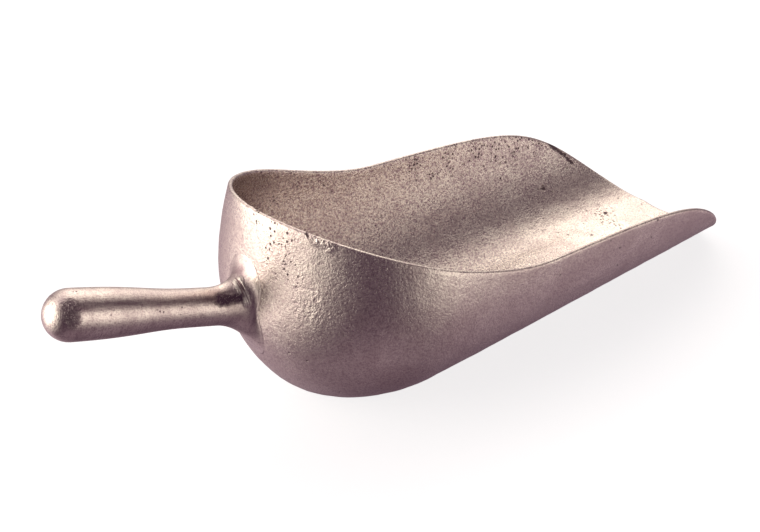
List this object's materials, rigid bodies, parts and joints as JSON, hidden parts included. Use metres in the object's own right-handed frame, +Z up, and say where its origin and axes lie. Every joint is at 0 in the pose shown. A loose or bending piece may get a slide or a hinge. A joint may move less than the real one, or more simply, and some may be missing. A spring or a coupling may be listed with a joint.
{
  "type": "ice scoop",
  "caption": "Cast aluminium ice scoop with a deep round-backed bowl, swept rim, flat-floored open front and a raised club handle.",
  "frame": {"origin": "on the plane that the flat underside of the bowl rests on, at the middle of the scoop's whole length and width", "axes": "+X from the handle towards the lip, along the longest extent; +Y to the left; +Z up, away from the surface that the scoop rests on"},
  "size_m": [0.4, 0.151, 0.112],
  "materials": {
    "bowl_metal": "satin sand-cast aluminium",
    "handle_metal": "filed and polished cast aluminium"
  },
  "bodies": {
    "root": {"bowl": "bowl_metal", "handle": "handle_metal"}
  },
  "joints": []
}
